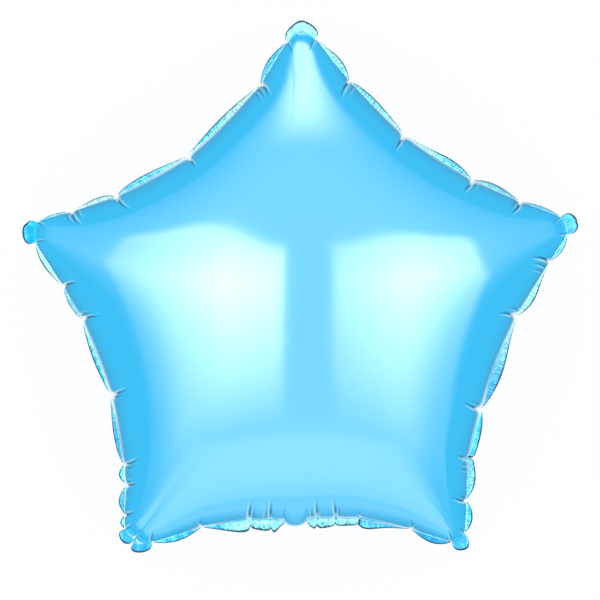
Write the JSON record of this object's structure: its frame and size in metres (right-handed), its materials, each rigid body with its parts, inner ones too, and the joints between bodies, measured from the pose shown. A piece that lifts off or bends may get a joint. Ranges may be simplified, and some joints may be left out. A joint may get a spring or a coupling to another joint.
{
  "type": "star foil balloon",
  "caption": "Inflated star-shaped foil balloon with a pleated, welded edge, rounded tip tabs and a filling tail folded behind.",
  "frame": {"origin": "on the surface the balloon lies on, under the centre of the star, at the middle of the flattened patch of the back film", "axes": "+Z out of the front film, away from the surface it lies on; +Y from the centre towards the top arm; +X to the right as seen from the front"},
  "size_m": [0.4452, 0.426, 0.1894],
  "materials": {
    "foil": "metallised sky-blue film, mirror-like gloss"
  },
  "bodies": {
    "root": {"star_balloon": "foil"}
  },
  "joints": []
}
